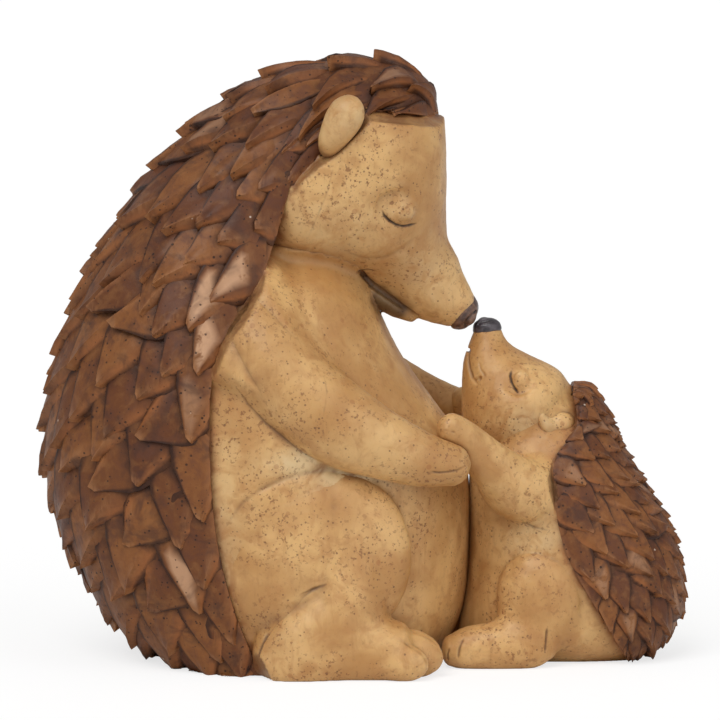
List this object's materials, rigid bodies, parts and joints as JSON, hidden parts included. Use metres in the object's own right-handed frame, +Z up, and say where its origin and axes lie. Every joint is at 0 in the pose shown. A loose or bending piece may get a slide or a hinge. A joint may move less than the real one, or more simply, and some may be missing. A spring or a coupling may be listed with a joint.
{
  "type": "hedgehog figurine",
  "caption": "Cast resin ornament of a seated hedgehog that holds its young nose to nose, with coats of overlapping carved quills, smooth tan skin and dark noses.",
  "frame": {"origin": "centre of the ornament's footprint box, on the surface that it stands on", "axes": "+X runs from the parent's back to the young one's back, +Y to the side away from the viewer of the picture, +Z up"},
  "size_m": [0.1266, 0.0718, 0.1199],
  "materials": {
    "quills": "satin",
    "skin": "semi-gloss",
    "nose": "semi-gloss"
  },
  "bodies": {
    "root": {"parent_coat": "quills", "parent_head": "skin", "parent_nose": "nose", "parent_ear_right": "skin", "parent_ear_left": "skin", "parent_body": "skin", "parent_arm_right": "skin", "parent_arm_left": "skin", "parent_leg_right": "skin", "parent_leg_left": "skin", "young_coat": "quills", "young_head": "skin", "young_nose": "nose", "young_ear_right": "skin", "young_ear_left": "skin", "young_body": "skin", "young_arm_right": "skin", "young_arm_left": "skin", "young_leg_right": "skin", "young_leg_left": "skin"}
  },
  "joints": []
}
